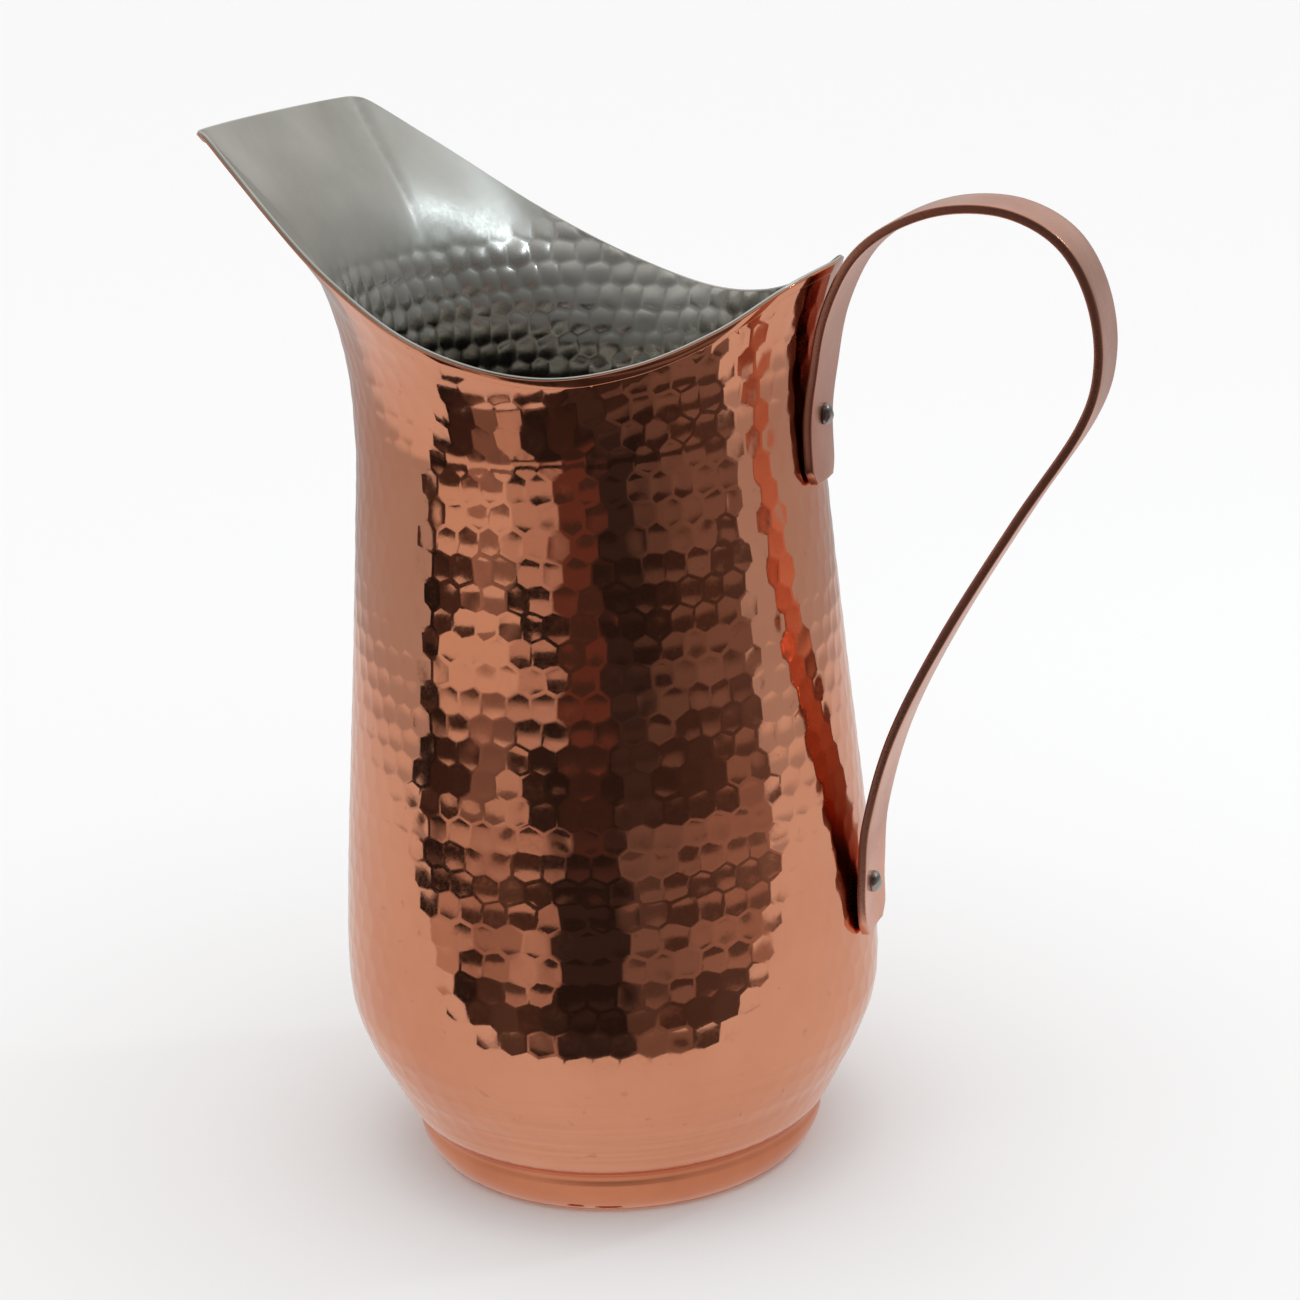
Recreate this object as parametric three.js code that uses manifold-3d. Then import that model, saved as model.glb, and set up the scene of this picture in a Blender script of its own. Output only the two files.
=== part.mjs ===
// A hand-hammered copper water jug with a wide pouring spout and a riveted strap handle.
//
// Millimetres, +Z up. The jug stands on z = 0, the spout points along -X and the handle along +X. The jug is
// drawn about its own upright axis, and the whole group is then shifted along X, so that the origin lies on
// the ground in the middle of the overall length. The right and left halves mirror each other across y = 0.

import * as THREE from "three";
import { mergeVertices } from "three/addons/utils/BufferGeometryUtils.js";
import Module from "manifold-3d";

const wasm = await Module();
wasm.setup();

// --- Driving dimensions ------------------------------------------------------------------------------------

const shellThickness = 1.0;
const liningThickness = 0.4;
const fitGap = 0.3; // left open between pieces that touch on the real jug
const underside = 11.4; // height of the body's flat bottom, above the foot

// Half section of the body from the bottom corner to the narrowest part of the neck: radius and height.
const bodyProfile = [
  [53.6, underside],
  [57.6, 15.5],
  [61.6, 23.5],
  [66.4, 33],
  [70.2, 45],
  [70.6, 60],
  [69.2, 80],
  [67.0, 104],
  [64.6, 129],
  [62.3, 154],
  [60.4, 176],
  [59.1, 195],
];

// Between neck and rim the wall flares: the share of the way outward at each share of the way upward.
const flareShares = [
  [0.05, 0.33],
  [0.33, 0.66],
];

// The rim every 20 degrees round the axis, from the handle to the spout: radius and height. The last two
// run on past the lip, which cuts them off straight.
const rimStep = 20;
const rimStations = [
  [65.5, 237],
  [65.0, 235],
  [63.0, 227],
  [63.0, 221],
  [67.5, 220],
  [72.3, 227.1],
  [75.6, 241.4],
  [83.2, 261.3],
  [97.5, 284],
  [106, 300],
];

// The spout's straight pouring lip.
const lipReach = 84.5; // from the axis to the middle of the lip
const lipBow = 2.5; // how far the lip's ends fall back
const lipHalfWidth = 42;
const lipHeight = 273.4;
const lipCorner = 1.3; // how far the lip's corners are rounded off
const lipStart = 140; // degrees from the handle, beyond which the lip can cut the side sweep

// The smooth hem that stiffens the rim.
const hemHeight = 2.6;
const hemProud = 0.25;

// Foot ring.
const footTop = underside - fitGap;
const footThickness = 1.6;
const footProfile = [
  [49.4, 0],
  [52.0, 2.2],
  [53.6, 4.6],
  [54.6, 7.4],
  [54.8, footTop],
];
const restRadius = 46.2; // inner edge of the flat that the jug rests on

// Handle strap: the middle line of the strap, from its upper end to its lower end, as reach and height.
const strapWidth = 20;
const strapThickness = 2.3;
const strapClip = 3.5; // corners cut off at both ends
const strapDish = 0.6; // how far the ends are dished to sit on the round wall
const dishLength = 30;
const strapPath = [
  [61.3, 183],
  [60.9, 198],
  [62.2, 212],
  [65.3, 226],
  [72.0, 239],
  [82.0, 246.8],
  [95.5, 251],
  [110, 250],
  [122, 243],
  [129, 230.5],
  [131, 215],
  [126.8, 200],
  [111.5, 176.5],
  [93.5, 147],
  [80.5, 121],
  [73.6, 98],
  [71.2, 79],
  [71.6, 65],
];

// Rivets and the roves under their peened tails.
const upperRivetHeight = 199.7;
const lowerRivetHeight = 77.5;
const shankRadius = 1.6;
const headRadius = 2.8;
const headHeight = 2.2;
const tailRadius = 2.5;
const tailHeight = 1.5;
const roveRadius = 4;
const roveThickness = 0.8;

// How finely the round shapes are divided.
const wallStep = 7.5; // degrees
const bellySpans = 5; // spans of the body profile, from the bottom, that are divided in two
const footSegments = 48;
const rivetSegments = 20;
const strapSteps = 46;

// --- Finishes ----------------------------------------------------------------------------------------------

const copper = new THREE.MeshStandardMaterial({ color: 0xc8825f, metalness: 1, roughness: 0.22 });
const tin = new THREE.MeshStandardMaterial({ color: 0xa9a49a, metalness: 1, roughness: 0.35 });
const strapCopper = new THREE.MeshStandardMaterial({ color: 0xb8765a, metalness: 1, roughness: 0.3 });
const steel = new THREE.MeshStandardMaterial({ color: 0x8d8c8a, metalness: 1, roughness: 0.3 });

// --- Helpers -----------------------------------------------------------------------------------------------

const toVectors = (pairs) => pairs.map(([a, b]) => new THREE.Vector2(a, b));

/** The smaller of two values, eased over about `width` where they cross. */
function softMin(a, b, width) {
  return (a + b - Math.hypot(a - b, width)) / 2;
}

/** A closed skin over rings of points: neighbouring rings are joined, and both ends close on a middle point. */
function skin(rings, firstMiddle, lastMiddle) {
  const count = rings[0].length;
  const points = [...rings.flat(), firstMiddle, lastMiddle];
  const first = points.length - 2;
  const last = points.length - 1;
  const lastRing = (rings.length - 1) * count;
  const faces = [];
  for (let i = 0; i < count; i += 1) {
    const next = (i + 1) % count;
    faces.push(first, next, i);
    faces.push(last, lastRing + i, lastRing + next);
    for (let ring = 0; ring < lastRing; ring += count) {
      const [a, b, c, d] = [ring + i, ring + next, ring + count + next, ring + count + i];
      if (points[a].distanceTo(points[c]) < points[b].distanceTo(points[d])) {
        faces.push(a, b, c, a, c, d);
      } else {
        faces.push(a, b, d, b, c, d);
      }
    }
  }
  const geometry = new THREE.BufferGeometry().setFromPoints(points);
  geometry.setIndex(faces);
  return geometry;
}

/** A solid for cutting, from a closed geometry already placed about the jug's axis. */
function toSolid(geometry) {
  const bare = geometry.clone();
  bare.deleteAttribute("normal");
  bare.deleteAttribute("uv");
  const merged = mergeVertices(bare, 1e-4);
  return new wasm.Manifold(
    new wasm.Mesh({
      numProp: 3,
      vertProperties: new Float32Array(merged.attributes.position.array),
      triVerts: new Uint32Array(merged.index.array),
    }),
  );
}

function toGeometry(solid) {
  const { vertProperties, triVerts } = solid.getMesh();
  const geometry = new THREE.BufferGeometry();
  geometry.setAttribute("position", new THREE.BufferAttribute(vertProperties, 3));
  geometry.setIndex(new THREE.BufferAttribute(triVerts, 1));
  return geometry;
}

/** A mesh with its own material, so that each piece can be coloured by itself. */
function piece(name, geometry, material) {
  geometry.computeVertexNormals();
  const mesh = new THREE.Mesh(geometry, material.clone());
  mesh.name = name;
  return mesh;
}

// --- The wall ----------------------------------------------------------------------------------------------

const rimCurve = new THREE.SplineCurve(
  toVectors([rimStations[1], ...rimStations, rimStations[rimStations.length - 2]]),
);

/** The rim's radius (x) and height (y) at an angle in degrees from the handle. */
function rimAt(angle) {
  const turned = Math.abs(THREE.MathUtils.euclideanModulo(angle + 180, 360) - 180);
  const side = rimCurve.getPoint((1 + turned / rimStep) / (rimStations.length + 1));
  if (turned < lipStart) {
    return side;
  }
  const forward = -Math.cos(THREE.MathUtils.degToRad(turned));
  const across = (lipReach * Math.sin(THREE.MathUtils.degToRad(turned))) / forward;
  const lip = (lipReach - lipBow * (across / lipHalfWidth) ** 2) / forward;
  return new THREE.Vector2(softMin(side.x, lip, lipCorner), softMin(side.y, lipHeight, lipCorner));
}

/** The wall's outer half section at an angle: up the body, through the neck and out to the rim. */
function wallCurve(angle) {
  const body = toVectors(bodyProfile);
  const neck = body[body.length - 1];
  const rim = rimAt(angle);
  const flare = flareShares.map(
    ([outward, upward]) =>
      new THREE.Vector2(
        THREE.MathUtils.lerp(neck.x, rim.x, outward),
        THREE.MathUtils.lerp(neck.y, rim.y, upward),
      ),
  );
  return new THREE.SplineCurve([...body, ...flare, rim]);
}

const wallSpans = bodyProfile.length + flareShares.length;

function onWall(curve, angle, t) {
  const point = curve.getPoint(t);
  const turn = THREE.MathUtils.degToRad(angle);
  return new THREE.Vector3(point.x * Math.cos(turn), point.x * Math.sin(turn), point.y);
}

/** One upright line of the wall: its curve and the curves a little to each side of it, for the slope. */
function wallStation(angle) {
  const nudge = 0.5;
  return {
    angle,
    curve: wallCurve(angle),
    left: { angle: angle - nudge, curve: wallCurve(angle - nudge) },
    right: { angle: angle + nudge, curve: wallCurve(angle + nudge) },
  };
}

/** The point at t along a station's curve, set `depth` inward from the outer face. */
function wallPoint(station, t, depth) {
  const nudge = 0.002;
  const { angle, curve, left, right } = station;
  const point = onWall(curve, angle, t);
  const round = onWall(right.curve, right.angle, t).sub(onWall(left.curve, left.angle, t));
  const upper = onWall(curve, angle, Math.min(1, t + nudge));
  const rise = upper.sub(onWall(curve, angle, Math.max(0, t - nudge)));
  return point.addScaledVector(round.cross(rise).normalize(), -depth);
}

/** Degrees round the axis: even steps, and closer ones at the two corners of the lip. */
function wallAngles() {
  const angles = [];
  for (let angle = 0; angle < 360; angle += wallStep) {
    angles.push(angle);
  }
  const corner = THREE.MathUtils.radToDeg(Math.atan2(lipHalfWidth, lipBow - lipReach));
  for (const offset of [-1, 1]) {
    angles.push(corner + offset, 360 - corner + offset);
  }
  return angles.sort((a, b) => a - b);
}

const stations = wallAngles().map(wallStation);

/** t at a distance below the rim, measured along the wall. */
function belowRim(curve, distance) {
  return curve.getUtoTmapping(1 - distance / curve.getLength());
}

/** Rings of wall points from the bottom corner to `topInset` below the rim, at a depth. */
function wallRings(depth, topInset) {
  const shares = [];
  for (let span = 0; span < wallSpans; span += 1) {
    shares.push(span);
    if (span < bellySpans || span >= bodyProfile.length - 1) {
      shares.push(span + 0.5);
    }
  }
  const rings = shares.map((share) => stations.map((s) => wallPoint(s, share / wallSpans, depth)));
  rings.push(stations.map((s) => wallPoint(s, belowRim(s.curve, topInset), depth)));
  for (const point of rings[0]) {
    point.z = Math.max(point.z, underside + depth);
  }
  return rings;
}

function bottomMiddle(depth) {
  return new THREE.Vector3(0, 0, underside + depth);
}

// --- Rivets ------------------------------------------------------------------------------------------------

const handleSide = wallCurve(0);

/** The wall's outer radius under the handle, at a height. */
function wallRadius(height) {
  let low = 0;
  let high = 1;
  while (high - low > 1e-6) {
    const middle = (low + high) / 2;
    if (handleSide.getPoint(middle).y < height) {
      low = middle;
    } else {
      high = middle;
    }
  }
  return handleSide.getPoint(low).x;
}

/** Turns a shape drawn up the Y axis so that it lies level along X, from the wall's outer face at a height. */
function intoWall(geometry, height) {
  geometry.rotateZ(-Math.PI / 2);
  geometry.rotateX(Math.PI / 2);
  geometry.translate(wallRadius(height), 0, height);
  return geometry;
}

const strapCurve = new THREE.SplineCurve(toVectors(strapPath));

/** How far the strap's outer face stands off the wall at a rivet's height. */
function strapFace(height) {
  let nearest = strapCurve.getPoint(0);
  for (const point of strapCurve.getPoints(400)) {
    if (Math.abs(point.y - height) < Math.abs(nearest.y - height) && point.x < lipReach) {
      nearest = point;
    }
  }
  return nearest.x + strapThickness / 2 - wallRadius(height);
}

const liningInside = shellThickness + fitGap + liningThickness;
const roveFace = -liningInside - 2 * fitGap; // the rove's outer face, clear of the curved lining

function domePoints(radius, height, start, end) {
  const points = [];
  const arcSteps = 6;
  for (let i = 0; i <= arcSteps; i += 1) {
    const turn = THREE.MathUtils.lerp(start, end, i / arcSteps);
    points.push(new THREE.Vector2(radius * Math.cos(turn), height * Math.sin(turn)));
  }
  return points;
}

/** A round-headed rivet: domed head outside, plain shank, and a flatter peened tail inside. */
function rivetGeometry(height) {
  const headBase = strapFace(height) + fitGap;
  const tailBase = roveFace - roveThickness - fitGap;
  const tail = domePoints(tailRadius, tailHeight, -Math.PI / 2, 0);
  const head = domePoints(headRadius, headHeight, 0, Math.PI / 2);
  tail.forEach((point) => point.setY(point.y + tailBase));
  head.forEach((point) => point.setY(point.y + headBase));
  tail[0].x = 0;
  head[head.length - 1].x = 0;
  const shank = toVectors([
    [shankRadius, tailBase],
    [shankRadius, headBase],
  ]);
  return intoWall(new THREE.LatheGeometry([...tail, ...shank, ...head], rivetSegments), height);
}

function roveGeometry(height) {
  const hole = shankRadius + fitGap;
  const section = toVectors([
    [hole, roveFace - roveThickness],
    [roveRadius, roveFace - roveThickness],
    [roveRadius, roveFace],
    [hole, roveFace],
    [hole, roveFace - roveThickness],
  ]);
  return intoWall(new THREE.LatheGeometry(section, rivetSegments), height);
}

/** The drill that clears a rivet's shank through strap and wall. */
function rivetDrill(height) {
  const radius = shankRadius + fitGap;
  const reach = 12;
  return toSolid(intoWall(new THREE.CylinderGeometry(radius, radius, reach, rivetSegments), height));
}

/** Drills both rivet holes through a piece. */
function drilled(geometry) {
  const solid = toSolid(geometry);
  const upper = solid.subtract(rivetDrill(upperRivetHeight));
  return toGeometry(upper.subtract(rivetDrill(lowerRivetHeight)));
}

// --- The pieces --------------------------------------------------------------------------------------------

/** The copper body: outer face up to the hem, over the rim, and down the inner face to the flat bottom. */
function bodyShell() {
  const outer = wallRings(0, hemHeight);
  const hemFoot = stations.map((s) => wallPoint(s, belowRim(s.curve, hemHeight - hemProud), -hemProud));
  const hemTop = stations.map((s) => wallPoint(s, 1, -hemProud));
  const inner = wallRings(shellThickness, 0).reverse();
  const rings = [...outer, hemFoot, hemTop, ...inner];
  return drilled(skin(rings, bottomMiddle(0), bottomMiddle(shellThickness)));
}

/** The lining: a thin cup that follows the inside of the body up to the rim. */
function innerLining() {
  const back = shellThickness + fitGap;
  const rings = [...wallRings(back, 0), ...wallRings(liningInside, 0).reverse()];
  return drilled(skin(rings, bottomMiddle(back), bottomMiddle(liningInside)));
}

/** The foot: a flared ring, turned in at the bottom to a flat that the jug rests on. */
function footRing() {
  const outside = toVectors(footProfile);
  const inside = outside.slice(1).map((point) => new THREE.Vector2(point.x - footThickness, point.y));
  const flat = toVectors([
    [restRadius, footThickness],
    [restRadius, 0],
  ]);
  const section = [...outside, ...inside.reverse(), ...flat, outside[0]];
  const ring = new THREE.LatheGeometry(section, footSegments);
  ring.rotateX(Math.PI / 2);
  return ring;
}

/** One cross-section of the strap, as offsets across (x) and out of its face (y), for a half width. */
function strapSection(halfWidth, dish) {
  const edge = 0.5; // the edges are eased by this much
  const half = strapThickness / 2;
  const lanes = [-1, -0.5, 0, 0.5, 1].map((share) => share * (halfWidth - edge));
  const sag = (across) => -dish * (across / (strapWidth / 2)) ** 2;
  const outer = lanes.map((across) => new THREE.Vector2(across, half + sag(across)));
  const inner = lanes.map((across) => new THREE.Vector2(across, -half + sag(across))).reverse();
  const right = new THREE.Vector2(halfWidth, sag(halfWidth));
  const left = new THREE.Vector2(-halfWidth, sag(halfWidth));
  return [...outer, right, ...inner, left];
}

/** The handle: a flat strap bent along its path, with clipped corners and dished, drilled ends. */
function handleStrap() {
  const length = strapCurve.getLength();
  const distances = [0];
  for (let i = 0; i <= strapSteps; i += 1) {
    distances.push(THREE.MathUtils.lerp(strapClip, length - strapClip, i / strapSteps));
  }
  distances.push(length);
  const middles = [];
  const rings = distances.map((distance) => {
    const middle = strapCurve.getPointAt(distance / length);
    const along = strapCurve.getTangentAt(distance / length);
    const fromEnd = Math.min(distance, length - distance);
    const halfWidth = strapWidth / 2 - Math.max(0, strapClip - fromEnd);
    const dish = strapDish * THREE.MathUtils.smoothstep(dishLength - fromEnd, 0, dishLength / 2);
    middles.push(new THREE.Vector3(middle.x, 0, middle.y));
    return strapSection(halfWidth, dish).map(
      ({ x, y }) => new THREE.Vector3(middle.x - along.y * -y, x, middle.y + along.x * -y),
    );
  });
  return drilled(skin(rings, middles[0], middles[middles.length - 1]));
}

// --- Assembly ----------------------------------------------------------------------------------------------

const jug = new THREE.Group();
jug.add(piece("body_shell", bodyShell(), copper));
jug.add(piece("inner_lining", innerLining(), tin));
jug.add(piece("foot_ring", footRing(), copper));
jug.add(piece("handle_strap", handleStrap(), strapCopper));
for (const [place, height] of [
  ["upper", upperRivetHeight],
  ["lower", lowerRivetHeight],
]) {
  jug.add(piece(`rivet_${place}`, rivetGeometry(height), steel));
  jug.add(piece(`rove_${place}`, roveGeometry(height), steel));
}
jug.position.x = -new THREE.Box3().setFromObject(jug).getCenter(new THREE.Vector3()).x;

const assembly = new THREE.Group();
assembly.add(jug);
export default assembly;
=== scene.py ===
"""A hand-hammered copper water jug: its visible surfaces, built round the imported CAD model.

Lengths are in millimetres until a mesh is made, and metres after that. The jug is drawn about its own upright
axis and then shifted along X to where the CAD foot ring stands. Angles run in degrees from the handle (0) to
the middle of the spout (180).
"""

import math

import bmesh
import bpy
import numpy as np
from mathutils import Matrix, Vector


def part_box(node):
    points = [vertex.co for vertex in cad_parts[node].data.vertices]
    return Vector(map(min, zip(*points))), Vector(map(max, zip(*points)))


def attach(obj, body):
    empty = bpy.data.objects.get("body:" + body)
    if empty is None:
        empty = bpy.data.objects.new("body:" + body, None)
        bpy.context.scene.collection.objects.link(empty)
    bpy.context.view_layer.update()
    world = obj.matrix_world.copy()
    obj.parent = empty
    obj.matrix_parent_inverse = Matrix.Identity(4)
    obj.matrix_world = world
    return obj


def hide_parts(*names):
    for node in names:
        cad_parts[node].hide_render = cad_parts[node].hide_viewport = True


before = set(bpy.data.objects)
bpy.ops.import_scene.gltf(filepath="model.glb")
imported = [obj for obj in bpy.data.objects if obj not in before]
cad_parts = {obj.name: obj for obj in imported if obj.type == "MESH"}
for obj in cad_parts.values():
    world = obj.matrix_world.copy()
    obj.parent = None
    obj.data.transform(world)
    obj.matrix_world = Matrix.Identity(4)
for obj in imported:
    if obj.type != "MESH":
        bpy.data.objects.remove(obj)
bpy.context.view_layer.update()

# --- Driving dimensions, as in the CAD model ---------------------------------------------------------------

UNDERSIDE = 11.4
BODY_PROFILE = [
    (53.6, UNDERSIDE),
    (57.6, 15.5),
    (61.6, 23.5),
    (66.4, 33.0),
    (70.2, 45.0),
    (70.6, 60.0),
    (69.2, 80.0),
    (67.0, 104.0),
    (64.6, 129.0),
    (62.3, 154.0),
    (60.4, 176.0),
    (59.1, 195.0),
]
FLARE_SHARES = [(0.05, 0.33), (0.33, 0.66)]
SIDE_FLARE_SHARES = [(0.16, 0.33), (0.50, 0.66)]  # the flare is straighter at the sides
SIDE_FROM = (25, 55)  # angles over which the sides' flare takes over
SIDE_TO = (100, 140)  # and over which it hands back
RIM_STEP = 20  # degrees between the rim's stations
RIM_STATIONS = [
    (65.5, 237.0),
    (65.0, 235.0),
    (63.0, 227.0),
    (63.0, 221.0),
    (67.5, 220.0),
    (72.3, 227.1),
    (75.6, 241.4),
    (83.2, 261.3),
    (97.5, 284.0),
    (106.0, 300.0),
]
LIP_REACH = 84.5
LIP_BOW = 2.5
LIP_HALF_WIDTH = 42.0
LIP_HEIGHT = 273.4
LIP_CORNER = 1.3
LIP_START = 140.0
HEM_HEIGHT = 2.6
HEM_PROUD = 0.25
FOOT_TOP = 11.1
FOOT_THICKNESS = 1.6
FOOT_PROFILE = [(49.4, 0.0), (52.0, 2.2), (53.6, 4.6), (54.6, 7.4), (54.8, FOOT_TOP)]
REST_RADIUS = 46.2
STRAP_WIDTH = 20.0
STRAP_THICKNESS = 2.3
STRAP_CLIP = 3.5
STRAP_DISH = 0.6
DISH_LENGTH = 30.0
STRAP_PATH = [
    (61.3, 183.0),
    (60.9, 198.0),
    (62.2, 212.0),
    (65.3, 226.0),
    (72.0, 239.0),
    (82.0, 246.8),
    (95.5, 251.0),
    (110.0, 250.0),
    (122.0, 243.0),
    (129.0, 230.5),
    (131.0, 215.0),
    (126.8, 200.0),
    (111.5, 176.5),
    (93.5, 147.0),
    (80.5, 121.0),
    (73.6, 98.0),
    (71.2, 79.0),
    (71.6, 65.0),
]

# --- What only the visible surfaces need -------------------------------------------------------------------

WALL = 1.5  # from the outer face to the tin
RIM_WALL = 1.15  # the same at the rim
RIM_THINS = 30.0  # the wall thins over this distance to the rim
TIN_SHEET = 0.5
SHEET_GAP = 0.1  # between the unseen sides of the copper and the tin
MARKS_ROUND = 64  # hammer marks in one row
PITCH = 6.3  # width of a mark where the wall's radius is 64 mm
ROW_STEP = 6.5
MARK_RADIUS = 54.0  # how round the hammer's face is
BUMP_RADIUS = 16.0  # the tin side of each mark stands out rounder
ROW_LIFT = 0.3  # how far a whole row is out of place, up or down
ROW_SLIDE = 0.15  # and along, as a share of a mark
MARK_SLIDE = 0.12  # how far one mark is out of place along its row, as a share of a mark
MARK_LIFT = 0.45  # and up or down
MARK_PULL = 1.2  # the most ground a mark wins or gives up, in square millimetres of relief
MARK_TILT = 1.7  # how far a blow leans, in square millimetres of relief for each millimetre
HAMMERED_FROM = (14.0, 26.0)  # heights over which the marks fade in above the foot
HAMMERED_TO = (229.0, 239.0)  # and fade out up the spout
SPOUT_FROM = (112, 124)  # angles over which the smooth spout begins
SEED = 7
RINGS = (0.40, 0.77, 1.0)  # rings of points in a mark, as shares of the way from its middle to its outline
LONG_SIDE = 1.0  # a longer side of a mark gets a point in its middle
RIDGE_RELIEF = 13.0  # square millimetres: relief on a usual ridge between marks
EDGE_SNAP = 0.3  # a point this near to the wall's top or bottom edge is moved onto it
EDGE_FADE = 0.8  # the marks fade out over this distance under the wall's top edge
SLIVER = 0.02  # square millimetres: twice the area of the least face kept at those edges
SEAM = 0.004  # points nearer than this are joined
SKIRT = 1.0  # how far the hem and the rolled edge run on behind the hammered wall
RIM_SEGMENTS = 640
BACK_STEPS = 24
COPPER_BACK_FROM = 0.5  # how far under the rim the unseen sides begin
TIN_BACK_FROM = 0.9
HEM_SHOULDER = [(0.5, 0.3), (0.9, 0.7), (1.0, 1.2)]  # out and up, as shares of HEM_PROUD
HEM_EDGE = 0.3  # radius of the hem's upper edge
HEM_DROP = 0.1  # how far that edge stays under the tin's
HEM_INSIDE = (-0.12, 0.2)
RIM_BEAD = 0.5  # radius of the tin's rolled edge
RIM_BEAD_RISE = 0.1
BASE_SHEET = 1.0
FLOOR_RADIUS = 52.2  # where the inner wall meets the flat floor
FOOT_SEGMENTS = 360
FOOT_EDGE = 0.9  # radius of the foot's soft bottom edge
FLANGE_EDGE = 0.6  # and of the edge of the flange turned in under it
FLANGE = [(REST_RADIUS + 2.5, 1.7), (REST_RADIUS + 0.3, FOOT_THICKNESS)]
REST_EDGE = (REST_RADIUS + 0.9, 0.0)
SOLDER_PROFILE = [
    (54.75, 9.2),
    (54.55, 10.2),
    (54.4, 11.0),
    (54.55, 11.7),
    (54.9, 12.3),
    (55.3, 13.0),
    (54.4, 13.0),
]
SOLDER_BACK = (53.0, 11.2)
SEAM_SLITS = [(276.5, 2.3, 2.3), (286.0, 3.8, 1.9)]  # angle and half width in degrees, and height
SLIT_HALF_HEIGHT = 0.4
SLIT_DEPTH = 1.3
STRAP_EDGE = 0.45
STRAP_END = STRAP_CLIP + 1.5  # the stretch at each end whose outline changes
CLIP_SOFTNESS = 1.2
RIVET_HEIGHTS = {"upper": 199.7, "lower": 77.5}
HEAD_RADIUS = 2.8
HEAD_HEIGHT = 2.2
HEAD_FOOT = 0.35  # height of a head's straight foot
HEAD_FLATS = 9
FLAT_DEPTH = 1.6
FLAT_START = 0.86  # cosine of the angle from a flat's middle to its outline
TAIL_RADIUS = 2.5
TAIL_HEIGHT = 1.5
TAIL_FOOT = 0.3
RIVET_SEGMENTS = 48
ROVE_RADIUS = 4.0
ROVE_HOLE = 1.8
ROVE_THICKNESS = 0.8
ROVE_EDGE = 0.2
ROVE_SEGMENTS = 64
ROVE_GAP = 0.25  # between the lining and a rove
SPUN_BELOW = (0.022, 0.045)  # metres up, over which the spun bottom turns into hammered wall
SATIN_TIN = (0.226, 0.238)  # between the polished bumps and the satin spout
PAINTED_TIN_SHADE_HEIGHTS = (0.203, 0.216)  # metres up, over which the tin's colour turns from painted shade deep inside to its bright colour
WINDOW = (0.587, 0.287, 0.802)  # the lamp whose glow lies on the tin of the spout
SPOUT_MIDDLE = (-0.074, 0.045, 0.242)
WINDOW_SIZE = 0.07
WINDOW_POWER = 0.58
WINDOW_COLOUR = (0.80, 0.92, 1.0)
WORLD_LIGHT = 0.94
OVERHEAD_LIGHT = 0.6
# Painted reflection of the floor, which glows only for the metal: bright near the jug, duller farther out.
SHEET_GLOW = (0.72, 0.69, 0.67)
TABLE_GLOW = (0.46, 0.45, 0.45)
SHEET_EDGE = (0.56, 0.70)  # metres from the jug's axis
ROOM_UP = (-0.2, 0.5, 0.84)  # the room is brighter towards this side, in the metal
ROOM_GLOW = [
    (0.0, (0.17, 0.17, 0.165)),
    (1.0, (0.85, 0.84, 0.82)),
    (0.35, (0.28, 0.28, 0.275)),
    (0.7, (0.60, 0.59, 0.57)),
]
CAMERA_LENS = 73.84
CAMERA_PLACE = (238.41, -620.27, 334.64)  # millimetres from the jug's axis
CAMERA_FORWARD = (-0.32593, 0.90043, -0.28809)
CAMERA_ROLL = -2.45
CAMERA_AZIMUTH = -69.0  # of the camera, seen from the jug's axis
# The screens that glow only for the metal, painting its reflections: their shelf, level stripes and colours.
SHELF_HEIGHT = 0.1
STRIPE_STEP = 0.042
STRIPE_SWAY = 9.0
FINE_STRIPES = 2.3  # fine stripes to a broad one
FINE_SHARE = 0.4  # and how strong they are beside it
STRIPE_BIAS = [(0.0, 0.5), (1.0, 0.7), (0.25, 0.4), (0.5, 0.0), (0.7, 0.4)]  # share of the height; and bias
FRONT_AZIMUTHS = (CAMERA_AZIMUTH - 74.0, CAMERA_AZIMUTH + 63.5)
BLACK = (0.02, 0.017, 0.017)
SOOT = (0.035, 0.03, 0.03)
UMBER = (0.06, 0.04, 0.035)
RED_BROWN = (0.13, 0.06, 0.05)
BROWN = (0.095, 0.075, 0.068)
TAN = (0.20, 0.155, 0.14)
CLAY = (0.34, 0.255, 0.225)
SAND = (0.50, 0.41, 0.37)
CREAM = (0.66, 0.58, 0.52)
FRONT_COLOURS = [  # place along the screen; then bright and dim colour high up, and bright and dim low down
    (0.000, UMBER, BLACK, UMBER, BLACK),
    (1.000, TAN, BROWN, CLAY, TAN),
    (0.045, UMBER, BLACK, UMBER, BLACK),
    (0.065, CREAM, UMBER, SAND, BLACK),
    (0.150, CREAM, UMBER, SAND, BLACK),
    (0.180, CREAM, CLAY, CLAY, UMBER),
    (0.280, CREAM, TAN, CLAY, BROWN),
    (0.310, SAND, BLACK, SAND, UMBER),
    (0.390, SAND, BLACK, CLAY, SOOT),
    (0.410, SAND, BLACK, SOOT, BLACK),
    (0.425, CLAY, BLACK, SOOT, BLACK),
    (0.440, RED_BROWN, UMBER, SOOT, BLACK),
    (0.540, RED_BROWN, UMBER, SOOT, BLACK),
    (0.560, SOOT, BLACK, SOOT, BLACK),
    (0.580, SOOT, BLACK, TAN, BROWN),
    (0.650, SOOT, BLACK, TAN, BROWN),
    (0.670, BROWN, BLACK, TAN, UMBER),
    (0.850, TAN, UMBER, CLAY, BROWN),
]
SCREEN_LOW = (0.22, 0.42)  # heights, as shares, over which the low colours turn into the high ones
BACK_AZIMUTHS = (CAMERA_AZIMUTH + 165, CAMERA_AZIMUTH + 195)
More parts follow.
